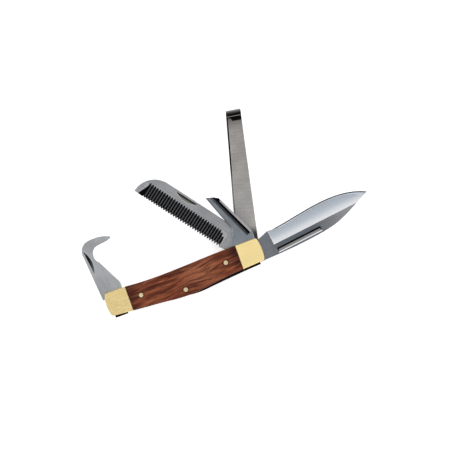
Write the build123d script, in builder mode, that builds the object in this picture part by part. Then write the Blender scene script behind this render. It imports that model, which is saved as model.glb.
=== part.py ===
from build123d import *
import os
from math import cos, radians, sin

# A folding pocket knife for horse care, with a hoof pick, a leather punch, a mane comb, a knife blade and
# a hoof knife. The handle lies on its rear face: X runs along it, towards the blade end, Y points to the
# side where the tools fold out, and Z goes through its thickness. The origin is on the rear face, midway
# between the two pivots. Every tool turns about a pivot pin that stands along Z.

os.makedirs("parts", exist_ok=True)

# Driving dimensions, mm.
pivot_x = 45.55  # from the middle of the handle to each pivot
cover_thick = 3.2  # scales and bolsters
liner_thick = 0.8
divider_thick = 0.5
punch_gap = 2.6  # the four slots between liners and dividers, front to rear
comb_gap = 2.2
blade_gap = 2.4
hoof_knife_gap = 2.2
side_play = 0.05  # on each side of a tool in its slot

# The stack from the rear face to the front face.
rear_liner_z = cover_thick
hoof_knife_z = rear_liner_z + liner_thick
divider_3_z = hoof_knife_z + hoof_knife_gap
blade_z = divider_3_z + divider_thick
divider_2_z = blade_z + blade_gap
comb_z = divider_2_z + divider_thick
divider_1_z = comb_z + comb_gap
punch_z = divider_1_z + divider_thick
front_liner_z = punch_z + punch_gap
front_cover_z = front_liner_z + liner_thick
front_face_z = front_cover_z + cover_thick

# Handle outline.
pick_joint_x = -38.0  # where wood meets brass
blade_joint_x = 37.0
pick_joint_top = 7.9
pick_joint_bottom = -8.35
blade_joint_top = 8.5
blade_joint_bottom = -7.5
belly_bottom = -11.3
pick_end_x = -53.5
blade_end_x = 52.9
scale_edge_round = 0.8
bolster_edge_round = 0.9
bolster_corner = 1.6

# Pins.
pivot_radius = 1.6
pivot_play = 0.05
spring_pin_at = (-2.1, -7.3)
spring_pin_radius = 1.2
pin_head_radius = 1.45
pin_head_height = 0.12
rivet_places = [(-30.3, -0.8), (28.0, 0.2)]

# Tangs and the springs that press on them.
tang_flat = 4.5  # from the pivot to each flat
tang_corner = 1.48
tool_edge_round = 0.25
spring_edge_round = 0.15
lifted_face = -5.9  # a spring's face, lifted clear of the turning tang's corners
foot_bottom = -9.0
spring_tip_x = 49.0
pick_foot_tip_x = -50.4
pick_foot_heel_x = -41.8
blade_shoulder = 3.2  # from the pivot to the step that meets the spring's end
pick_shoulder = 5.3

# Angle from +X to each tool's own x axis, as it stands half open or open.
blade_angle = 7.0
hoof_knife_angle = 76.5
punch_angle = 115.0
comb_angle = 127.5
pick_angle = 97.5


def tool_plane(pivot, angle, z):
    """A tool's own plane: its origin on the pivot, its x axis along the tool."""
    turn = radians(angle)
    return Plane(origin=(pivot, 0, z), x_dir=(cos(turn), sin(turn), 0), z_dir=(0, 0, 1))


def cross_plane(plane, x):
    """A plane across a tool at its own x, with the tool's y to the right and Z up."""
    return Plane(
        origin=plane.from_local_coords((x, 0, 0)), x_dir=plane.y_dir, z_dir=plane.x_dir
    )


def side_plane(plane, skew):
    """A plane on a tool's pivot, turned skew degrees from its length, with its x to the right and Z up."""
    turned = plane.rotated((0, 0, skew))
    return Plane(origin=plane.origin, x_dir=turned.x_dir, z_dir=-turned.y_dir)


def tang_line(heel, throat, shoulder, back=-1):
    """The square end of a tool, from the heel on its back to the throat on its edge side."""
    Polyline(
        heel,
        (shoulder, back * tang_flat),
        (-tang_flat, back * tang_flat),
        (-tang_flat, -back * tang_flat),
        throat,
    )


def round_tang():
    """Rounds the two corners that pass over the spring, and opens the pivot hole."""
    corners = vertices().group_by(Axis.X)[0]
    fillet(corners, radius=tang_corner)
    Circle(pivot_radius + pivot_play, mode=Mode.SUBTRACT)


def soften(plate, radius):
    """Rounds the outer rims of a plate's two flat faces."""
    flats = plate.faces().filter_by(Plane.XY).sort_by(Axis.Z)
    rims = flats[0].outer_wire().edges() + flats[-1].outer_wire().edges()
    fillet(rims, radius=radius)


def cut_nail_nick(plane, thick, x, back_y, front_y, length, depth):
    """A crescent nick, steep on the back's side, as a slightly conical wheel cuts it."""
    wheel = (length**2 / 4 + depth**2) / (2 * depth)
    width = abs(front_y - back_y)
    away = plane.y_dir if front_y > back_y else -plane.y_dir
    middle = plane.from_local_coords((x, (back_y + front_y) / 2, thick + wheel - depth))
    with Locations(Plane(origin=middle, z_dir=away)):
        Cone(
            bottom_radius=wheel,
            top_radius=wheel - depth,
            height=width,
            mode=Mode.SUBTRACT,
        )


def save(piece, name):
    piece.part.label = name
    export_step(piece.part, f"parts/{name}.step")


# Outlines of the handle.
with BuildSketch() as scale_outline:
    with BuildLine():
        top_line = Spline(
            (pick_joint_x, pick_joint_top),
            (-18, 7.0),
            (10, 7.8),
            (blade_joint_x, blade_joint_top),
        )
        belly_line = Spline(
            (pick_joint_x, pick_joint_bottom),
            (-20, -9.8),
            (-1, belly_bottom),
            (14, -9.9),
            (blade_joint_x, blade_joint_bottom),
        )
        Line(top_line @ 0, belly_line @ 0)
        Line(top_line @ 1, belly_line @ 1)
    make_face()

with BuildSketch() as pick_bolster_outline:
    with BuildLine():
        Line((pick_joint_x, pick_joint_top), (-52.1, 8.2))
        ThreePointArc((-52.1, 8.2), (pick_end_x, 0), (-52.1, -7.2))
        Line((-52.1, -7.2), (pick_joint_x, pick_joint_bottom))
        Line((pick_joint_x, pick_joint_bottom), (pick_joint_x, pick_joint_top))
    make_face()
    fillet(vertices().sort_by(Axis.X)[:2], radius=bolster_corner)

with BuildSketch() as blade_bolster_outline:
    with BuildLine():
        Line((blade_joint_x, blade_joint_top), (51.5, 8.6))
        ThreePointArc((51.5, 8.6), (blade_end_x, 0.6), (52.0, -6.5))
        Line((52.0, -6.5), (blade_joint_x, blade_joint_bottom))
        Line((blade_joint_x, blade_joint_bottom), (blade_joint_x, blade_joint_top))
    make_face()
    fillet(vertices().sort_by(Axis.X)[-2:], radius=bolster_corner)

with BuildSketch() as handle_outline:
    add(scale_outline.sketch)
    add(pick_bolster_outline.sketch)
    add(blade_bolster_outline.sketch)

# The space that the hoof knife's curled end needs at the pick end when it is closed.
with BuildSketch() as curl_room:
    with Locations((-60.0, 3.2)):
        Rectangle(19.0, 12.0, align=(Align.MIN, Align.MIN))


# Scales: the two wooden covers, drilled for the pins.
def make_scale(name, z, outer):
    with BuildPart() as scale:
        with BuildSketch(Plane.XY.offset(z)):
            add(scale_outline.sketch)
            with Locations(*rivet_places, spring_pin_at):
                Circle(pin_head_radius, mode=Mode.SUBTRACT)
        extrude(amount=cover_thick)
        rim = scale.faces().sort_by(Axis.Z)[outer].outer_wire().edges()
        fillet(rim, radius=scale_edge_round)
    save(scale, name)


make_scale("front_scale", front_cover_z, -1)
make_scale("rear_scale", 0, 0)


# Bolsters: the brass caps at the ends of the handle, each drilled for its pivot pin.
def make_bolster(name, outline, pivot, z, outer):
    with BuildPart() as bolster:
        with BuildSketch(Plane.XY.offset(z)):
            add(outline.sketch)
            with Locations((pivot, 0)):
                Circle(pivot_radius, mode=Mode.SUBTRACT)
        extrude(amount=cover_thick)
        rim = bolster.faces().sort_by(Axis.Z)[outer].outer_wire().edges()
        fillet(rim, radius=bolster_edge_round)
    save(bolster, name)


make_bolster("pick_end_bolster_front", pick_bolster_outline, -pivot_x, front_cover_z, -1)
make_bolster("pick_end_bolster_rear", pick_bolster_outline, -pivot_x, 0, 0)
make_bolster("blade_end_bolster_front", blade_bolster_outline, pivot_x, front_cover_z, -1)
make_bolster("blade_end_bolster_rear", blade_bolster_outline, pivot_x, 0, 0)


# Liners and dividers: full-length sheets between the covers and the tools.
def make_sheet(name, z, thick, rivet_holes=False, lowered=False):
    with BuildPart() as sheet:
        with BuildSketch(Plane.XY.offset(z)):
            add(handle_outline.sketch)
            with Locations((-pivot_x, 0), (pivot_x, 0)):
                Circle(pivot_radius, mode=Mode.SUBTRACT)
            with Locations(spring_pin_at):
                Circle(spring_pin_radius, mode=Mode.SUBTRACT)
            if rivet_holes:
                with Locations(*rivet_places):
                    Circle(pin_head_radius, mode=Mode.SUBTRACT)
            if lowered:
                add(curl_room.sketch, mode=Mode.SUBTRACT)
        extrude(amount=thick)
    save(sheet, name)


make_sheet("front_liner", front_liner_z, liner_thick, rivet_holes=True)
make_sheet("divider_punch_to_comb", divider_1_z, divider_thick)
make_sheet("divider_comb_to_blade", divider_2_z, divider_thick, lowered=True)
make_sheet("divider_blade_to_hoof_knife", divider_3_z, divider_thick, lowered=True)
make_sheet("rear_liner", rear_liner_z, liner_thick, rivet_holes=True)


# Back-springs. The arm under the blade-end tangs is bent down by the tangs' corners, so it shows below the
# handle there. The end under the pick is a thicker foot. The other three springs end in a pad on the pin.
def spring_blade_arm():
    """The bent arm's two edges, from over the spring pin, round its tip, to under the spring pin."""
    face = Spline(
        (-1.0, -4.9),
        (6, -6.3),
        (16, -7.0),
        (29, -7.45),
        (36, -7.1),
        (39.5, -6.6),
    )
    Polyline(
        face @ 1,
        (41.2, lifted_face),
        (spring_tip_x, lifted_face),
        (spring_tip_x, -8.3),
    )
    Spline((spring_tip_x, -8.3), (30, -9.65), (16, -10.95), (6, -11.75), (-2, -11.1))


with BuildPart() as punch_and_pick_spring:
    with BuildSketch(Plane.XY.offset(punch_z)):
        with BuildLine():
            spring_blade_arm()
            Spline((-2, -11.1), (-20, -9.9), (pick_foot_heel_x, -8.1))
            Polyline(
                (pick_foot_heel_x, -8.1),
                (pick_foot_heel_x, foot_bottom),
                (pick_foot_tip_x, foot_bottom),
                (pick_foot_tip_x, lifted_face),
                (-39.0, lifted_face),
            )
            Spline((-39.0, lifted_face), (-20, -6.0), (-8, -5.4), (-3.2, -4.9))
            Line((-3.2, -4.9), (-1.0, -4.9))
        make_face()
        with Locations(spring_pin_at):
            Circle(spring_pin_radius, mode=Mode.SUBTRACT)
    extrude(amount=punch_gap)
    soften(punch_and_pick_spring, spring_edge_round)
save(punch_and_pick_spring, "punch_and_pick_spring")


def make_padded_spring(name, z, thick):
    with BuildPart() as spring:
        with BuildSketch(Plane.XY.offset(z)):
            with BuildLine():
                spring_blade_arm()
                Spline((-2, -11.1), (-20, -9.9), (pick_joint_x, -8.35))
                Polyline(
                    (pick_joint_x, -8.35),
                    (-51.2, -7.2),
                    (-52.4, -4.0),
                    (-50.4, 1.2),
                    (-48.4, 2.8),
                    (-43.4, 2.8),
                    (-41.9, 1.2),
                    (-41.6, -4.2),
                    (-39.0, -5.4),
                )
                Spline((-39.0, -5.4), (-20, -5.8), (-8, -5.4), (-3.2, -4.9))
                Line((-3.2, -4.9), (-1.0, -4.9))
            make_face()
            with Locations(spring_pin_at):
                Circle(spring_pin_radius, mode=Mode.SUBTRACT)
            with Locations((-pivot_x, 0)):
                Circle(pivot_radius, mode=Mode.SUBTRACT)
        extrude(amount=thick)
        soften(spring, spring_edge_round)
    save(spring, name)


make_padded_spring("comb_spring", comb_z, comb_gap)
make_padded_spring("blade_spring", blade_z, blade_gap)
make_padded_spring("hoof_knife_spring", hoof_knife_z, hoof_knife_gap)


# Pins. The pivot pins are ground flush with the bolsters. The spring pin and scale rivets have low heads.
def make_pivot_pin(name, x):
    with BuildPart() as pin:
        with BuildSketch():
            with Locations((x, 0)):
                Circle(pivot_radius)
        extrude(amount=front_face_z)
    save(pin, name)


make_pivot_pin("blade_end_pivot_pin", pivot_x)
make_pivot_pin("pick_end_pivot_pin", -pivot_x)

with BuildPart() as spring_pin:
    with BuildSketch():
        with Locations(spring_pin_at):
            Circle(spring_pin_radius)
    extrude(amount=front_face_z)
    with BuildSketch():
        with Locations(spring_pin_at):
            Circle(pin_head_radius)
    extrude(amount=cover_thick)
    with BuildSketch(Plane.XY.offset(front_cover_z)):
        with Locations(spring_pin_at):
            Circle(pin_head_radius)
    extrude(amount=cover_thick + pin_head_height)
    fillet(spring_pin.edges().sort_by(Axis.Z)[-1], radius=pin_head_height * 0.8)
save(spring_pin, "spring_pin")

with BuildPart() as front_rivets:
    with BuildSketch(Plane.XY.offset(front_liner_z)):
        with Locations(*rivet_places):
            Circle(pin_head_radius)
    extrude(amount=liner_thick + cover_thick + pin_head_height)
    fillet(front_rivets.edges().group_by(Axis.Z)[-1], radius=pin_head_height * 0.8)
save(front_rivets, "front_scale_rivets")

with BuildPart() as rear_rivets:
    with BuildSketch():
        with Locations(*rivet_places):
            Circle(pin_head_radius)
    extrude(amount=cover_thick + liner_thick)
save(rear_rivets, "rear_scale_rivets")


# Main blade: a spear point, ground hollow on both sides, with a long nail pull.
blade_thick = blade_gap - 2 * side_play
blade_plane = tool_plane(pivot_x, blade_angle, blade_z + side_play)
blade_tip = (84.6, 2.2)
plunge_x = 15.8
grind_line_y = -1.3  # the hollow grind runs from here to past the edge
hollow_reach = 10.6
hollow_mid_half = 0.6  # half the blade's thickness, halfway up the grind and at its end
hollow_end_half = 0.32
edge_bevel = 3.2
edge_bevel_depth = 1.08
nail_pull_x = 16.4
nail_pull_length = 31.2

with BuildSketch() as blade_outline:
    with BuildLine():
        tang_line((blade_shoulder, -7.5), (4.7, tang_flat), blade_shoulder)
        Polyline((4.7, tang_flat), (7.4, 6.1), (plunge_x, 8.6))
        Line((plunge_x, 8.6), (18.4, 8.1))
        Spline((18.4, 8.1), (40, 9.3), (56, 9.8), (70, 8.2), blade_tip)
        Spline(
            blade_tip,
            (72, -2.9),
            (58, -7.3),
            (44, -8.6),
            (22, -8.5),
            (blade_shoulder, -7.5),
        )
    make_face()
    round_tang()

with BuildPart() as main_blade:
    with BuildSketch(blade_plane):
        add(blade_outline.sketch)
    extrude(amount=blade_thick)
    for z_side in (0, -1):
        flat = main_blade.faces().filter_by(Plane.XY).sort_by(Axis.Z)[z_side]
        edge = flat.edges().filter_by(GeomType.BSPLINE).sort_by(SortBy.LENGTH)[-2:].sort_by(Axis.Y)[-1]
        chamfer(edge, length=edge_bevel, length2=edge_bevel_depth, reference=flat)
    spine = main_blade.edges().filter_by(GeomType.BSPLINE).sort_by(SortBy.LENGTH)[-2:]
    fillet(spine, radius=tool_edge_round)
    with BuildSketch(cross_plane(blade_plane, plunge_x)):
        middle_z = blade_thick / 2
        for side in (-1, 1):
            with BuildLine():
                hollow = ThreePointArc(
                    (grind_line_y, middle_z + side * middle_z),
                    (4.6, middle_z + side * hollow_mid_half),
                    (hollow_reach, middle_z + side * hollow_end_half),
                )
                Polyline(
                    hollow @ 1,
                    (hollow_reach, middle_z + side * 3),
                    (grind_line_y, middle_z + side * 3),
                    hollow @ 0,
                )
            make_face()
    extrude(amount=blade_tip[0], mode=Mode.SUBTRACT)
    with BuildSketch(cross_plane(blade_plane, nail_pull_x)):
        with BuildLine():
            Polyline(
                (-3.9, blade_thick + 0.1),
                (-4.4, blade_thick - 0.66),
                (-6.2, blade_thick - 0.44),
                (-7.6, blade_thick + 0.1),
                close=True,
            )
        make_face()
    extrude(amount=nail_pull_length, mode=Mode.SUBTRACT)
save(main_blade, "main_blade")


# Mane comb: a rounded blade with gullets ground into its front face and through its edge.
comb_thick = comb_gap - 2 * side_play
comb_plane = tool_plane(pivot_x, comb_angle, comb_z + side_play)
comb_back_y = -9.25
gullet_count = 32
gullet_pitch = 1.86
gullet_width = 1.14
gullet_floor = 0.5
first_gullet_x = 21.1
tooth_zone_x = 19.8
tooth_zone_length = 61.8
tooth_bevel_depth = 0.9


def gullet_root(x):
    """Where a gullet starts, measured across the comb: the first few are shorter."""
    return max(1.0 - 0.94 * (x - first_gullet_x), -2.0 - 0.016 * (x - first_gullet_x))


with BuildSketch() as comb_outline:
    with BuildLine():
        tang_line((blade_shoulder, -7.5), (12.4, tang_flat), blade_shoulder)
        Polyline((12.4, tang_flat), (16.4, 6.9), (20.0, 7.5), (85.5, 6.4))
        ThreePointArc((85.5, 6.4), (81.02, -4.65), (70, comb_back_y))
        Spline((70, comb_back_y), (28, -8.8), (blade_shoulder, -7.5), tangents=[(-1, 0), (-1, 0.1)])
    make_face()
    round_tang()

with BuildPart() as mane_comb:
    with BuildSketch(comb_plane):
        add(comb_outline.sketch)
    extrude(amount=comb_thick)
    soften(mane_comb, tool_edge_round)
    with BuildSketch(cross_plane(comb_plane, tooth_zone_x)):
        with BuildLine():
            Polyline(
                (-2.6, comb_thick),
                (8.5, comb_thick),
                (8.5, comb_thick - tooth_bevel_depth),
                close=True,
            )
        make_face()
    extrude(amount=tooth_zone_length, mode=Mode.SUBTRACT)
    gullet_xs = [first_gullet_x + gullet_pitch * turn for turn in range(gullet_count)]
    with BuildSketch(comb_plane.offset(gullet_floor)):
        for x in gullet_xs:
            root = gullet_root(x)
            with Locations((x, root)):
                Circle(gullet_width / 2)
                Rectangle(gullet_width, 12, align=(Align.CENTER, Align.MIN))
        last_x = gullet_xs[-1]
        with BuildLine():
            Polyline((last_x, gullet_root(last_x)), (last_x + 4.6, 8), (last_x, 8), close=True)
        make_face()
    extrude(amount=comb_thick, mode=Mode.SUBTRACT)
    with BuildSketch(comb_plane):
        for x in gullet_xs:
            with Locations((x, 7.0)):
                Triangle(a=2.0, b=2.2, c=2.2, rotation=180)
    extrude(amount=comb_thick, mode=Mode.SUBTRACT)
    cut_nail_nick(comb_plane, comb_thick, 54.1, -7.9, -5.1, 17.0, 0.9)
save(mane_comb, "mane_comb")


# Leather punch: a pointed blade with a channel along it, closed on one side by a raised lip.
punch_thick = punch_gap - 2 * side_play
punch_plane = tool_plane(pivot_x, punch_angle, punch_z + side_play)
channel_y = -7.75
channel_radius = 1.35
channel_centre_depth = 0.3
lip_height = 1.1
lip_width = 1.4
lip_round = 0.55
lip_y = -9.1
lip_start_x = 10.5
lip_length = 28.0

with BuildSketch() as punch_outline:
    with BuildLine():
        tang_line((blade_shoulder, -7.5), (6.0, tang_flat), blade_shoulder)
        Spline((6.0, tang_flat), (9.5, 6.4), (12.7, 6.2), (16.6, 1.2), (21.0, -2.4))
        Polyline((21.0, -2.4), (46.4, -4.3), (42.9, -8.4), (40.2, -10.3), (10.0, -10.6))
        Line((10.0, -10.6), (blade_shoulder, -7.5))
    make_face()
    round_tang()

with BuildPart() as leather_punch:
    with BuildSketch(punch_plane):
        add(punch_outline.sketch)
    extrude(amount=punch_thick)
    soften(leather_punch, tool_edge_round)
    with BuildSketch(punch_plane.offset(punch_thick)):
        with Locations((lip_start_x, lip_y)):
            Rectangle(lip_length, lip_width, align=(Align.MIN, Align.MAX))
    extrude(amount=lip_height)
    lip_top = leather_punch.faces().sort_by(Axis.Z)[-1]
    fillet(lip_top.edges(), radius=lip_round)
    with BuildSketch(cross_plane(punch_plane, lip_start_x)):
        with Locations((channel_y, punch_thick - channel_centre_depth)):
            Circle(channel_radius)
            Rectangle(2 * channel_radius, 3, align=(Align.CENTER, Align.MIN))
    extrude(amount=40, mode=Mode.SUBTRACT)
save(leather_punch, "leather_punch")


# Hoof knife: a tapering bar, sharp along one edge, whose end is thinned and curled towards the front.
hoof_knife_thick = hoof_knife_gap - 2 * side_play
hoof_knife_plane = tool_plane(pivot_x, hoof_knife_angle, hoof_knife_z + side_play)
curl_x = 90.4
curl_skew = 4.3  # degrees from square across the knife
curl_outer = 3.1
curl_thick = 1.35
curl_turn = 205
thinning_x = 79.0
edge_bevel_width = 1.8
hoof_knife_edge = [(27, 8.3), (95, 6.1)]
edge_start, edge_end = [hoof_knife_plane.from_local_coords((*point, 0)) for point in hoof_knife_edge]
hoof_knife_edge_plane = Plane(origin=edge_start, x_dir=edge_end - edge_start, z_dir=(0, 0, 1))

with BuildSketch() as hoof_knife_outline:
    with BuildLine():
        tang_line((blade_shoulder, -7.2), (4.7, tang_flat), blade_shoulder)
        Spline((4.7, tang_flat), (10, 6.5), (19, 8.0), hoof_knife_edge[0])
        Polyline(*hoof_knife_edge, (95, -3.4), (9.4, -5.35), (6.2, -7.3), (blade_shoulder, -7.2))
    make_face()
    round_tang()

with BuildPart() as hoof_knife:
    with BuildSketch(hoof_knife_plane):
        add(hoof_knife_outline.sketch)
    extrude(amount=2 * curl_outer + 1)
    with BuildSketch(side_plane(hoof_knife_plane, curl_skew)):
        curl_inner = curl_outer - curl_thick
        with BuildLine():
            outside = CenterArc((curl_x, curl_outer), curl_outer, -90, curl_turn)
            inside = CenterArc((curl_x, curl_outer), curl_inner, -90, curl_turn)
            Line(outside @ 1, inside @ 1)
            Polyline(
                inside @ 0,
                (thinning_x, hoof_knife_thick),
                (-8, hoof_knife_thick),
                (-8, 0),
                outside @ 0,
            )
        make_face()
    extrude(amount=15, both=True, mode=Mode.INTERSECT)
    with BuildSketch(cross_plane(hoof_knife_edge_plane, -3)):
        with BuildLine():
            Polyline(
                (0.6 - edge_bevel_width, hoof_knife_thick),
                (0.6, hoof_knife_thick),
                (0.6, hoof_knife_thick - 1.2),
                close=True,
            )
        make_face()
    extrude(amount=60, mode=Mode.SUBTRACT)
save(hoof_knife, "hoof_knife")


# Hoof pick: a flat arm that turns at its end into a blunt hook.
pick_thick = punch_gap - 2 * side_play
pick_plane = tool_plane(-pivot_x, pick_angle, punch_z + side_play)

with BuildSketch() as pick_outline:
    with BuildLine():
        tang_line((pick_shoulder, 8.4), (4.7, -tang_flat), pick_shoulder, back=1)
        Spline((4.7, -tang_flat), (7.4, -6.3), (10.5, -7.0), (14, -6.0))
        Line((14, -6.0), (28.5, -0.95))
        Spline((28.5, -0.95), (33.8, 0.5), (37.4, -1.8), (38.3, -7.0), (38.8, -13.6))
        ThreePointArc((38.8, -13.6), (39.6, -14.8), (40.6, -13.9))
        Spline((40.6, -13.9), (42.6, -10.0), (43.9, -3.5), (43.4, 2.4), (40.6, 5.6), (35.5, 6.8))
        Line((35.5, 6.8), (pick_shoulder, 8.4))
    make_face()
    round_tang()

with BuildPart() as hoof_pick:
    with BuildSketch(pick_plane):
        add(pick_outline.sketch)
    extrude(amount=pick_thick)
    soften(hoof_pick, tool_edge_round)
    cut_nail_nick(pick_plane, pick_thick, 31.1, 5.3, 3.0, 17.0, 0.9)
save(hoof_pick, "hoof_pick")
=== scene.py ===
from math import cos, radians, sin

import bpy
from mathutils import Matrix, Vector

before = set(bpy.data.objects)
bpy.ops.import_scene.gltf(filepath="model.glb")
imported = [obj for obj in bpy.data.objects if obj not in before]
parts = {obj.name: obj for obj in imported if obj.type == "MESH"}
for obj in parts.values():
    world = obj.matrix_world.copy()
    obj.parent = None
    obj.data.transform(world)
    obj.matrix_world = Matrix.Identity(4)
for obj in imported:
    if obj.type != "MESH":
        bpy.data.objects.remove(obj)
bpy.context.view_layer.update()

# Where each tool's own axes lie in the row frame: its pivot's x in metres, and degrees from +X to its length.
PIVOT_X = 0.04555
BLADE = (PIVOT_X, 7.0)
HOOF_KNIFE = (PIVOT_X, 76.5)
PUNCH = (PIVOT_X, 115.0)
COMB = (PIVOT_X, 127.5)
PICK = (-PIVOT_X, 97.5)
HANDLE = (0.0, 0.0)

# Colours that several materials share.
WHITE = (1.0, 1.0, 1.0)
DEEP_SHADE = (0.006, 0.006, 0.008)


# Short ways to make shader nodes.
class Shading:
    """A node tree being built, with short calls that add nodes and join them."""

    def __init__(self, tree):
        self.tree = tree

    def add(self, kind, inputs=(), **settings):
        node = self.tree.nodes.new("ShaderNode" + kind)
        for setting, value in settings.items():
            setattr(node, setting, value)
        for socket, value in dict(inputs).items():
            self.put(node.inputs[socket], value)
        return node

    def put(self, socket, value):
        if isinstance(value, bpy.types.NodeSocket):
            self.tree.links.new(value, socket)
        else:
            socket.default_value = value

    def math(self, operation, a, b=0.0):
        return self.add("Math", {0: a, 1: b}, operation=operation).outputs[0]

    def plus(self, a, b):
        return self.math("ADD", a, b)

    def minus(self, a, b):
        return self.math("SUBTRACT", a, b)

    def times(self, first, *others):
        product = first
        for other in others:
            product = self.math("MULTIPLY", product, other)
        return product

    def away(self, value, middle):
        """How far value is from middle, either way."""
        return self.math("ABSOLUTE", self.minus(value, middle))

    def line(self, run, slope, start):
        """The height of a straight line after a run."""
        return self.plus(self.times(run, slope), start)

    def fit(self, value, low, high, to_low=0.0, to_high=1.0):
        """value from low..high, smoothly to to_low..to_high."""
        found = self.add(
            "MapRange",
            {"Value": value, "From Min": low, "From Max": high, "To Min": to_low, "To Max": to_high},
            interpolation_type="SMOOTHSTEP",
        )
        return found.outputs[0]

    def fade(self, value, low, high, most=1.0):
        """most up to low, then smoothly down to 0 at high."""
        return self.fit(value, low, high, most, 0.0)

    def band(self, value, low, high, soft=0.0001):
        """1 between low and high, and 0 outside, over a soft step."""
        return self.times(self.fit(value, low - soft, low + soft), self.fade(value, high - soft, high + soft))

    def split(self, vector):
        return self.add("SeparateXYZ", {0: vector}).outputs


class Look(Shading):
    """A material being built: its shader, and the coordinates, patterns and layers that materials share."""

    def __init__(self, name, **finish):
        self.material = bpy.data.materials.new(name)
        self.material.use_nodes = True
        super().__init__(self.material.node_tree)
        self.shader = self.tree.nodes["Principled BSDF"]
        self.finish(**finish)

    def finish(self, **sockets):
        """Sets or links the shader's sockets, named with _ for a space."""
        for socket, value in sockets.items():
            self.put(self.shader.inputs[socket.replace("_", " ")], value)
        return self.material

    def place(self):
        return self.add("TexCoord").outputs["Object"]

    def facing_up(self):
        """1 on a surface that faces straight up, 0 on an upright one and -1 underneath."""
        return self.split(self.add("TexCoord").outputs["Normal"])["Z"]

    def turned(self, vector, degrees):
        return self.add("Mapping", {"Vector": vector, "Rotation": (0, 0, radians(degrees))}).outputs[0]

    def stretched(self, vector, size):
        return self.add("Mapping", {"Vector": vector, "Scale": size}, vector_type="TEXTURE").outputs[0]

    def along(self, pivot, angle, size=(1, 1, 1)):
        """Coordinates along a tool, from its pivot, divided by size."""
        axes = {"Location": (pivot, 0, 0), "Rotation": (0, 0, radians(angle)), "Scale": size}
        return self.add("Mapping", {"Vector": self.place(), **axes}, vector_type="TEXTURE").outputs[0]

    def noise(self, vector, scale=1.0, detail=3.0, roughness=0.55, distortion=0.0):
        found = self.add(
            "TexNoise",
            {
                "Vector": vector,
                "Scale": scale,
                "Detail": detail,
                "Roughness": roughness,
                "Distortion": distortion,
            },
        )
        return found.outputs["Fac"]

    def pocket(self, at, along, across, top):
        """1 on what lies just under a flat's top, within a stretch along and across the tool."""
        depth = self.band(at["Z"], top - 0.0009, top - 0.00005, 0.00003)
        return self.times(self.band(at["X"], *along), self.band(at["Y"], *across), depth)

    def mix(self, share, a, b):
        found = self.add("Mix", data_type="RGBA")
        for socket, value in ((0, share), (6, a), (7, b)):
            self.put(found.inputs[socket], (*value, 1.0) if isinstance(value, tuple) else value)
        return found.outputs[2]

    def layer(self, tint, *layers):
        """tint under layers, each a share and a colour, the last on top."""
        for share, shade in layers:
            tint = self.mix(share, tint, shade)
        return tint

    def soft_edges(self, radius):
        """Normals that round every sharp edge a little, so that edges catch the light."""
        return self.add("Bevel", {"Radius": radius}, samples=6).outputs[0]

    def edge_wear_and_shading(self, radius, least=0.02, most=0.2):
        """1 at sharp edges and 0 on flats, from how far rounded normals lean from the true ones."""
        true_normal = self.add("NewGeometry").outputs["Normal"]
        normals = {0: self.soft_edges(radius), 1: true_normal}
        agreement = self.add("VectorMath", normals, operation="DOT_PRODUCT").outputs["Value"]
        return self.fit(self.minus(1.0, agreement), least, most)

    def bump(self, height, strength, distance, normal):
        inputs = {"Height": height, "Strength": strength, "Distance": distance, "Normal": normal}
        return self.add("Bump", inputs).outputs[0]


def paint(material, *names):
    for name in names:
        for slot in parts[name].material_slots:
            slot.material = material


# The camera. It looks down on the handle's front face, with the handle turned in the picture.
VIEW_TURN = radians(-19.93)
VIEW_TILT = radians(1.0)
VIEW_CENTRE = Vector((0.0358, 0.0232, 0.0155))
VIEW_DISTANCE = 4.019
LENS_MM = 500
SENSOR_MM = 36


def make_camera():
    right = Vector((cos(VIEW_TURN), sin(VIEW_TURN), 0))
    up = Vector((-sin(VIEW_TURN), cos(VIEW_TURN), 0))
    back = (Vector((0, 0, 1)) - (right + up).normalized() * sin(VIEW_TILT)).normalized()
    right = (right - back * right.dot(back)).normalized()
    up = back.cross(right)
    data = bpy.data.cameras.new("camera")
    data.lens = LENS_MM
    data.sensor_width = SENSOR_MM
    data.clip_start = 0.05
    data.clip_end = 60
    camera = bpy.data.objects.new("camera", data)
    bpy.context.scene.collection.objects.link(camera)
    turn = Matrix((right, up, back)).transposed().to_4x4()
    camera.matrix_world = Matrix.Translation(VIEW_CENTRE + back * VIEW_DISTANCE) @ turn
    bpy.context.scene.camera = camera


# The floor. It glows a little, so that it stays white around the part's shadow.
FLOOR_HALF = 5.0
FLOOR_DROP = 0.00005
FLOOR_GLOW = 0.55


def make_floor():
    mesh = bpy.data.meshes.new("floor")
    corners = [(x * FLOOR_HALF, y * FLOOR_HALF, 0) for x, y in ((-1, -1), (1, -1), (1, 1), (-1, 1))]
    mesh.from_pydata(corners, [], [(0, 1, 2, 3)])
    floor = bpy.data.objects.new("floor", mesh)
    floor.location.z = -FLOOR_DROP
    bpy.context.scene.collection.objects.link(floor)
    look = Look("pale_floor", Roughness=0.9, Emission_Strength=FLOOR_GLOW, Emission_Color=(*WHITE, 1.0))
    speckle = look.noise(look.place(), scale=900, detail=2)
    mesh.materials.append(look.finish(Base_Color=look.mix(speckle, (0.86, 0.86, 0.86), (0.88, 0.88, 0.875))))


# The light: a pale tent, dimmer straight overhead and dark low down, so that metal has something to show.
TENT_COLOUR = (0.98, 0.99, 1.0)
TENT_STRENGTH = 1.3
OVERHEAD_STRENGTH = 0.33
LOW_SHARE = 0.27
HORIZON_STRENGTH = 0.75
LAMP_SIZE = (0.9, 0.45)
LAMP_WATTS = 1.3
LAMP_PLACE = Vector((0.02, 0.42, 1.15))
LAMP_AIM = Vector((0.02, 0, 0))


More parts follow.
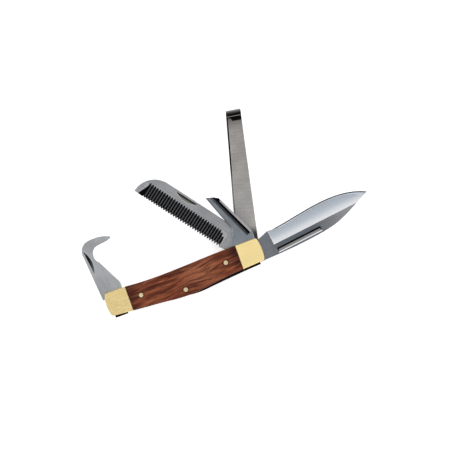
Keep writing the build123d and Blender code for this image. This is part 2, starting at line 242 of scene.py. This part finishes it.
def make_tent():
    """The world's brightness changes with the angle from straight overhead, in degrees."""
    world = bpy.data.worlds.new("studio")
    bpy.context.scene.world = world
    world.use_nodes = True
    sky = Shading(world.node_tree)
    height = sky.split(sky.add("TexCoord").outputs["Generated"])["Z"]
    angle = sky.math("DEGREES", sky.math("ARCCOSINE", height))
    tent = sky.times(
        sky.fit(angle, 8, 19, OVERHEAD_STRENGTH, TENT_STRENGTH), sky.fit(angle, 44, 68, 1.0, LOW_SHARE)
    )
    background = sky.tree.nodes["Background"]
    sky.put(background.inputs["Color"], (*TENT_COLOUR, 1))
    sky.put(background.inputs["Strength"], sky.plus(tent, sky.fit(angle, 78, 90, 0.0, HORIZON_STRENGTH)))


def make_lamp():
    """A softbox that casts the shadow, and shows in no picture and in no metal."""
    softbox = bpy.data.lights.new("softbox", "AREA")
    softbox.shape = "RECTANGLE"
    softbox.size, softbox.size_y = LAMP_SIZE
    softbox.energy = LAMP_WATTS
    lamp = bpy.data.objects.new("softbox", softbox)
    lamp.location = LAMP_PLACE
    lamp.rotation_euler = (LAMP_AIM - LAMP_PLACE).to_track_quat("-Z", "Y").to_euler()
    lamp.visible_camera = False
    lamp.visible_glossy = False
    bpy.context.scene.collection.objects.link(lamp)


# Rosewood. Places are x and y on the handle's face, in metres.
PIN_PLACES = ((-0.0303, -0.0008), (0.028, 0.0002), (-0.0021, -0.0073))
HEART_PLACE = (0.011, 0.0005)
CRACK_Y = -0.0012
COVER_MIDDLE_X = -0.0005
# Each knot's place, its width across the handle for a length of 1, and its strength.
KNOTS = (((0.0365, 0.005), 0.9, 0.95), ((-0.005, 0.0045), 0.35, 0.5), ((-0.0365, 0.005), 0.5, 0.55))


def wavy_grain(look):
    """Coordinates that lean from the handle's length and waver, so that streaks aren't straight."""
    leaning = look.turned(look.place(), -5)
    bend = look.fit(look.noise(leaning, scale=30, detail=1), 0.3, 0.7, -0.0018, 0.0018)
    sideways = look.add("CombineXYZ", {"Y": bend}).outputs[0]
    return look.add("VectorMath", {0: leaning, 1: sideways}, operation="ADD").outputs[0]


def around(look, spot, low, high, most=1.0, width=1.0):
    """most within low of a spot, then down to 0 at high; a width below 1 narrows it across the handle."""
    away = look.add("VectorMath", {0: look.place(), 1: (*spot, 0)}, operation="SUBTRACT").outputs[0]
    flat = look.add("VectorMath", {0: away, 1: (1, 1 / width, 0)}, operation="MULTIPLY").outputs[0]
    return look.fade(look.add("VectorMath", {0: flat}, operation="LENGTH").outputs["Value"], low, high, most)


def rosewood():
    """Dark and light streaks along the handle, with pores, knots, a crack, dark pin holes and painted shade
    on its rounded rims.
    """
    look = Look("rosewood", Specular_IOR_Level=0.06)
    wavy = wavy_grain(look)
    at = look.split(look.place())

    def grain(length, width, detail=3.0, distortion=0.0):
        return look.noise(look.stretched(wavy, (length, width, width)), detail=detail, distortion=distortion)

    figure = grain(0.03, 0.0032, 2, 0.3)
    streak = grain(0.02, 0.0015, 3, 0.3)
    light = grain(0.018, 0.0013, 2, 0.2)
    fibre = grain(0.005, 0.00028)
    pores = look.fit(grain(0.0022, 0.00018, 1), 0.6, 0.7)
    vein = look.away(grain(0.045, 0.0042, 1), 0.5)
    heart = look.times(around(look, HEART_PLACE, 0.004, 0.019, 0.65), look.fit(figure, 0.3, 0.5))
    ends = look.fit(look.away(at["X"], COVER_MIDDLE_X), 0.029, 0.0375, to_high=0.9)
    crack = look.fade(look.away(at["Y"], CRACK_Y), 0.0001, 0.0007, 0.85)

    tint = look.layer(
        look.mix(look.fit(figure, 0.36, 0.62), (0.155, 0.035, 0.0175), (0.31, 0.088, 0.039)),
        (heart, (0.42, 0.15, 0.075)),
        (look.fit(light, 0.52, 0.7, to_high=0.5), (0.45, 0.175, 0.09)),
        (look.fade(streak, 0.36, 0.54, 0.8), (0.055, 0.013, 0.008)),
        (look.fade(vein, 0.0, 0.02, 0.62), (0.035, 0.009, 0.007)),
        (look.fade(fibre, 0.35, 0.6, 0.4), (0.07, 0.018, 0.011)),
        (look.times(pores, 0.7), (0.02, 0.006, 0.004)),
        (look.times(ends, look.fit(figure, 0.35, 0.6, 1.0, 0.35)), (0.03, 0.008, 0.006)),
    )
    for spot, width, strength in KNOTS:
        spread = around(look, spot, 0.001, 0.0085, width=width)
        knot = look.times(spread, look.fit(light, 0.4, 0.6, 1.0, 0.75), strength)
        tint = look.mix(knot, tint, (0.03, 0.009, 0.009))
    tint = look.mix(look.times(crack, look.fade(at["X"], -0.031, -0.027)), tint, (0.02, 0.006, 0.005))
    for spot in PIN_PLACES:
        tint = look.mix(around(look, spot, 0.0016, 0.0024, 0.85), tint, (0.018, 0.005, 0.004))
    # Painted shade on the rounded rims of the covers.
    tint = look.mix(look.times(look.edge_wear_and_shading(0.0011, 0.0, 0.12), 0.85), tint, (0.02, 0.006, 0.005))

    height = look.minus(look.times(fibre, 0.5), pores)
    normal = look.bump(height, 0.4, 0.00005, look.soft_edges(0.0002))
    return look.finish(Base_Color=tint, Roughness=look.fit(figure, 0.3, 0.7, 0.36, 0.26), Normal=normal)


# Metals. In a tool's own axes, X runs along it from the pivot, Y across it and Z up, all in metres, so that
# each fit, fade and band on them says where a feature starts and ends.
EDGE_RADIUS = 0.00022
EDGE_SHARE = 0.6
SCRATCH_DEPTH = 0.00002


def ground_metal(name, pale, dark, rough, edge, lines, details=None, edge_width=EDGE_RADIUS, rounding=EDGE_RADIUS):
    """Ground or brushed metal, pale to dark by the height of its scratches, which lines makes.

    edge is the colour of its edges over the width given for them: edges rubbed by use, with a painted
    highlight where that colour is paler than the metal and painted shade where it is darker. rounding is how
    softly its edges turn.
    details, if given, adds what only this metal has.
    """
    look = Look(name, Metallic=1.0)
    scratches = lines(look)
    cloud = look.noise(look.place(), scale=60, detail=2)
    tint = look.layer(
        look.mix(look.fit(scratches, 0.25, 0.75), dark, pale),
        (look.fade(cloud, 0.35, 0.7, 0.2), dark),
        # Edges: rubbed by use, with a painted highlight where the edge colour is paler than the metal and
        # painted shade where it is darker.
        (look.times(look.edge_wear_and_shading(edge_width), EDGE_SHARE), edge),
    )
    shine = look.plus(
        look.fit(scratches, 0.3, 0.7, rough + 0.03, rough - 0.02), look.fit(cloud, 0.3, 0.7, -0.02, 0.03)
    )
    if details is not None:
        tint, shine = details(look, tint, shine)
    normal = look.bump(scratches, 0.05, SCRATCH_DEPTH, look.soft_edges(rounding))
    return look.finish(Base_Color=tint, Roughness=shine, Normal=normal)


def along_lines(pivot, angle, length=0.03, width=0.0009):
    """Scratches along a tool."""
    return lambda look: look.noise(look.along(pivot, angle, (length, width, width)), detail=2)


def bolster_brass():
    """Dulled brass, finely scratched and cloudy, with painted light that brightens it towards the blade end
    and painted shade on its sides at the pick end.
    """

    def lines(look):
        return look.noise(look.stretched(look.turned(look.place(), 24), (0.004, 0.0004, 0.0005)), detail=3)

    def mottle_and_painted_light(look, tint, shine):
        x = look.split(look.place())["X"]
        patch = look.noise(look.place(), scale=480, detail=4, roughness=0.7)
        # Painted shade on the sides and rounded rims at the pick end.
        pick_end_side_shade = look.times(look.fade(look.facing_up(), 0.3, 0.75, 0.7), look.fade(x, -0.052, -0.047))
        tint = look.layer(
            tint,
            (look.fade(patch, 0.36, 0.66, 0.32), (0.62, 0.45, 0.18)),
            (look.fit(patch, 0.5, 0.72, to_high=0.5), (0.97, 0.87, 0.56)),
            # Painted light: brighter towards the blade end.
            (look.fit(x, -0.02, 0.03, to_high=0.75), (1.0, 0.8, 0.38)),
            (pick_end_side_shade, (0.2, 0.14, 0.05)),
        )
        return tint, look.plus(shine, look.fit(patch, 0.3, 0.7, 0.05, -0.03))

    return ground_metal(
        "bolster_brass", (0.88, 0.71, 0.35), (0.76, 0.59, 0.27), 0.42, (0.98, 0.9, 0.62), lines, mottle_and_painted_light
    )


def sheet_brass():
    """Darker brass, brushed along the handle."""
    lines = along_lines(*HANDLE, 0.01, 0.0002)
    return ground_metal("sheet_brass", (0.56, 0.41, 0.17), (0.36, 0.26, 0.1), 0.38, (0.75, 0.6, 0.32), lines)


def pin_brass():
    """Brass with a fine grain and softer edges."""

    def lines(look):
        return look.noise(look.place(), scale=2200, detail=3)

    pale, dark, edge = (0.86, 0.7, 0.46), (0.7, 0.54, 0.32), (0.8, 0.66, 0.42)
    return ground_metal("pin_brass", pale, dark, 0.38, edge, lines, edge_width=0.0003, rounding=0.0003)


def spring_steel():
    """Nearly black: painted shade."""
    pale, dark, edge = (0.014, 0.014, 0.016), (0.007, 0.007, 0.008), (0.03, 0.03, 0.032)
    return ground_metal("spring_steel", pale, dark, 0.5, edge, along_lines(*HANDLE))


def blade_hollow(look, at, tint, shine):
    """The hollow, ground to a polish across the blade, with a painted highlight that fades to white at the
    grind line and a painted white highlight at its start.
    """
    inside = look.times(look.fit(at["X"], 0.01575, 0.0159), look.fit(at["Y"], -0.0014, -0.0012))
    # Painted highlight at the start of the hollow.
    start = look.times(look.band(at["X"], 0.01575, 0.0163), look.fit(at["Y"], -0.0016, -0.0013), 0.9)
    cross = look.noise(look.along(*BLADE, (0.0022, 0.05, 0.01)), detail=4)
    # The hollow's colour: polish lines, darker and bluer towards the tip, and a painted highlight fading to
    # white from the grind line.
    polish_and_highlight = look.layer(
        look.mix(look.fit(cross, 0.3, 0.72), (0.8, 0.86, 0.96), (0.86, 0.92, 1.0)),
        (look.fit(at["X"], 0.06, 0.085, to_high=0.35), (0.46, 0.49, 0.58)),
        (look.fade(at["Y"], 0.0, 0.0045, 0.75), WHITE),
    )
    polish = {0: inside, 2: shine, 3: look.fit(cross, 0.3, 0.7, 0.21, 0.19)}
    shine = look.add("Mix", polish, data_type="FLOAT").outputs[0]
    return look.layer(tint, (inside, polish_and_highlight), (start, WHITE)), shine


def blade_edge(look, at, tint):
    """The honed cutting edge, with a dark line where its two sides meet."""
    lean = look.math("ABSOLUTE", look.facing_up())
    keen = look.times(look.band(lean, 0.9, 0.972, 0.01), look.fit(at["Y"], -0.001, 0.001))
    from_middle = look.away(at["Z"], 0.0079)
    honed = look.mix(look.fit(at["X"], 0.045, 0.075), (0.66, 0.67, 0.68), (0.42, 0.45, 0.5))
    return look.layer(
        tint,
        (look.times(keen, look.fit(from_middle, 0.0003, 0.0004)), honed),
        (look.times(keen, look.fade(from_middle, 0.0003, 0.0004)), (0.06, 0.06, 0.065)),
    )


def blade_nail_pull(look, at, tint):
    """The long nail pull, in painted deep shade on the edge's side and at its ends, with a painted highlight
    on the back's side.
    """
    pull = look.times(
        look.band(at["X"], 0.0162, 0.0478),
        look.band(at["Z"], 0.0080, 0.00902),
        look.band(at["Y"], -0.0075, -0.00385, 0.00005),
    )
    hooks = look.times(
        look.fit(look.away(at["X"], 0.032), 0.0148, 0.0151), look.fit(at["Y"], -0.0066, -0.0062)
    )
    shadow = look.math("MAXIMUM", look.fit(at["Y"], -0.0054, -0.0051), hooks)
    return look.layer(
        tint,
        (pull, (0.27, 0.265, 0.262)),
        (look.times(pull, shadow), DEEP_SHADE),
        (look.times(pull, look.band(at["Y"], -0.0066, -0.0063), 0.6), (0.08, 0.08, 0.08)),
        # Painted highlight on the back's side of the pull.
        (look.times(pull, look.fade(at["Y"], -0.0069, -0.0068)), (0.8, 0.8, 0.82)),
    )


def blade_steel():
    """Flats ground along the blade, darker beside the nail pull and paler towards the tip."""

    def details(look, tint, shine):
        at = look.split(look.along(*BLADE))
        beside_pull = look.times(
            look.band(at["X"], 0.018, 0.047, 0.006), look.fit(at["Y"], -0.006, -0.003), 0.6
        )
        tint = look.layer(
            tint,
            (look.fit(at["X"], 0.044, 0.07, to_high=0.7), (0.78, 0.78, 0.8)),
            (beside_pull, (0.18, 0.21, 0.25)),
        )
        tint, shine = blade_hollow(look, at, tint, shine)
        return blade_nail_pull(look, at, blade_edge(look, at, tint)), shine

    # Its edge colour is dark: painted shade along the spine and edges.
    pale, dark, edge = (0.37, 0.39, 0.43), (0.32, 0.34, 0.37), (0.1, 0.105, 0.12)
    return ground_metal("blade_steel", pale, dark, 0.2, edge, along_lines(*BLADE), details)


def comb_steel():
    """Satin flats, painted shade on the ridges and deeper painted shade in the gullets between them, and
    painted shade in the nail nick.
    """

    def details(look, tint, shine):
        at = look.split(look.along(*COMB))
        run = look.minus(at["X"], 0.0211)
        roots = look.math("MAXIMUM", look.line(run, -0.94, 0.001), look.line(run, -0.016, -0.002))
        past_roots = look.minus(at["Y"], roots)
        front_half = look.fit(at["Z"], 0.0099, 0.01005)
        # Painted shade over the teeth, deepest in the gullets.
        ridge_shade = look.times(look.band(at["X"], 0.0202, 0.0796), front_half, look.fit(past_roots, 0.0, 0.0008))
        gullet_shade = look.times(
            look.band(at["X"], 0.0200, 0.085),
            front_half,
            look.fit(past_roots, -0.0009, -0.0007),
            look.fade(at["Z"], 0.01065, 0.0109),
        )
        nick = look.pocket(at, (0.0454, 0.0628), (-0.0081, -0.0049), 0.01175)
        # Painted shade in the nail nick.
        nick_shade = look.mix(look.fit(at["Y"], -0.0074, -0.0058), (0.015, 0.015, 0.017), (0.17, 0.165, 0.14))
        tint = look.layer(tint, (ridge_shade, (0.1, 0.1, 0.105)), (gullet_shade, (0.006, 0.006, 0.007)), (nick, nick_shade))
        return tint, shine

    pale, dark, edge = (0.54, 0.54, 0.555), (0.485, 0.485, 0.5), (0.7, 0.7, 0.72)
    return ground_metal("comb_steel", pale, dark, 0.26, edge, along_lines(*COMB), details)


def pick_steel():
    """Satin flats and painted shade in the nail nick."""

    def details(look, tint, shine):
        at = look.split(look.along(*PICK))
        nick = look.pocket(at, (0.0224, 0.0398), (0.0028, 0.0055), 0.01485)
        # Painted shade in the nail nick.
        nick_shade = look.mix(look.fit(at["X"], 0.025, 0.033), (0.1, 0.1, 0.1), (0.012, 0.012, 0.013))
        return look.mix(nick, tint, nick_shade), shine

    pale, dark, edge = (0.615, 0.625, 0.64), (0.54, 0.55, 0.565), (0.75, 0.76, 0.78)
    return ground_metal("pick_steel", pale, dark, 0.27, edge, along_lines(*PICK), details)


def punch_steel():
    """Bluish flats with painted shade along its edges, painted shade in its channel, whose wall shines
    little, and a paler lip.
    """

    def details(look, tint, shine):
        at = look.split(look.along(*PUNCH))
        above = look.fit(at["Z"], 0.0125, 0.0127)
        channel = look.times(look.band(at["X"], 0.0104, 0.06), above)
        wall = look.times(look.band(at["Y"], -0.0078, -0.006), look.fade(at["Z"], 0.01475, 0.01483), channel)
        wall_shade = look.mix(look.fit(at["Y"], -0.0078, -0.0063), (0.008, 0.008, 0.01), (0.17, 0.18, 0.2))
        edge_y = look.line(look.minus(at["X"], 0.021), -0.0748, -0.0024)
        # Painted shade along its edge beside the comb.
        outline_shade = look.times(
            look.fade(look.minus(edge_y, at["Y"]), 0.0003, 0.0007, 0.8), look.fit(at["X"], 0.02, 0.022)
        )
        lip = look.times(
            look.fade(at["Y"], -0.0092, -0.009),
            look.fit(at["Z"], 0.0147, 0.0149),
            look.fit(at["X"], 0.009, 0.011),
        )
        notch = look.times(look.fit(at["X"], 0.0383, 0.0387), look.fade(at["Y"], -0.0078, -0.0075), above)
        tint = look.layer(
            tint,
            (look.times(channel, look.fade(at["Y"], -0.0078, -0.0056)), DEEP_SHADE),
            (wall, wall_shade),
            (outline_shade, (0.05, 0.05, 0.06)),
            (lip, (0.47, 0.46, 0.46)),
            (notch, DEEP_SHADE),
        )
        look.finish(Metallic=look.minus(1.0, look.times(wall, 0.85)))
        return tint, shine

    # Its edge colour is dark: painted shade along its edges, over a wider band than on the other metals.
    pale, dark, edge = (0.44, 0.475, 0.525), (0.36, 0.4, 0.445), (0.03, 0.03, 0.035)
    return ground_metal("punch_steel", pale, dark, 0.22, edge, along_lines(*PUNCH), details, edge_width=0.0005)


# The direction in which the hoof knife's tip reaches, in its own axes.
CURL_X = 0.9972
CURL_Y = 0.075


def hoof_knife_curl(look, at, tint):
    """The curled tip, with painted shadow under its lip, a painted dark reflection on its outside, a paler
    rim and a pale end.
    """
    reach = look.plus(look.times(at["X"], CURL_X), look.times(at["Y"], CURL_Y))
    corner = look.minus(at["Y"], look.times(look.minus(reach, 0.0864), 0.66))
    # Painted shadow under the lip, with a slanted edge.
    under = look.times(look.fit(reach, 0.0862, 0.0865), look.fade(corner, 0.0023, 0.0025))
    # Painted shade and reflection: the shadow under the lip and the dark reflection on the outside beyond it.
    curl = look.math("MAXIMUM", under, look.fit(reach, 0.0886, 0.0889))
    rim = look.times(look.band(reach, 0.0889, 0.0896), look.fit(at["Z"], 0.0094, 0.0098))
    return look.layer(
        tint,
        (look.times(curl, look.fit(at["Z"], 0.0041, 0.0046)), (0.008, 0.007, 0.007)),
        (look.fit(reach, 0.091, 0.0928, to_high=0.8), (0.24, 0.225, 0.215)),
        (rim, (0.16, 0.16, 0.15)),
    )


def hoof_knife_steel():
    """Ground across its length, as a belt leaves it, with a dark bevel, painted shadow on its tang, darker
    towards its curled tip, and painted shade on that tip.
    """

    def lines(look):
        length, width, depth = 0.03, 0.0008, 0.0032
        crossing = look.noise(look.along(*HOOF_KNIFE, (width, length, depth)), detail=1)
        return look.fit(crossing, 0.28, 0.72)

    def details(look, tint, shine):
        at = look.split(look.along(*HOOF_KNIFE))
        to_edge = look.minus(look.line(at["X"], -0.0324, 0.00917), at["Y"])
        bevel = look.times(
            look.fit(look.facing_up(), 0.2, 0.4),
            look.fade(to_edge, 0.001, 0.00115),
            look.fit(at["X"], 0.024, 0.026),
        )
        tint = look.layer(
            tint,
            (bevel, (0.015, 0.015, 0.017)),
            (look.fade(at["X"], 0.046, 0.058, 0.5), (0.67, 0.655, 0.635)),
            (look.fit(at["X"], 0.0785, 0.0792, to_high=0.28), (0.08, 0.08, 0.08)),
            (look.fit(at["X"], 0.0785, 0.088, to_high=0.5), (0.06, 0.06, 0.065)),
            # Painted shadow on the tang.
            (look.fade(at["X"], 0.0125, 0.019, 0.9), (0.02, 0.02, 0.022)),
        )
        return hoof_knife_curl(look, at, tint), shine

    pale, dark, edge = (0.64, 0.605, 0.57), (0.45, 0.42, 0.395), (0.6, 0.59, 0.57)
    return ground_metal("hoof_knife_steel", pale, dark, 0.26, edge, lines, details)


make_camera()
make_floor()
make_tent()
make_lamp()
bpy.context.scene.view_settings.view_transform = "Standard"

paint(rosewood(), "front_scale", "rear_scale")
paint(
    bolster_brass(),
    "pick_end_bolster_front",
    "pick_end_bolster_rear",
    "pick_end_pivot_pin",
    "blade_end_bolster_front",
    "blade_end_bolster_rear",
    "blade_end_pivot_pin",
)
paint(
    sheet_brass(),
    "front_liner",
    "rear_liner",
    "divider_punch_to_comb",
    "divider_comb_to_blade",
    "divider_blade_to_hoof_knife",
)
paint(pin_brass(), "spring_pin", "front_scale_rivets", "rear_scale_rivets")
paint(spring_steel(), "punch_and_pick_spring", "comb_spring", "blade_spring", "hoof_knife_spring")
paint(blade_steel(), "main_blade")
paint(comb_steel(), "mane_comb")
paint(pick_steel(), "hoof_pick")
paint(punch_steel(), "leather_punch")
paint(hoof_knife_steel(), "hoof_knife")
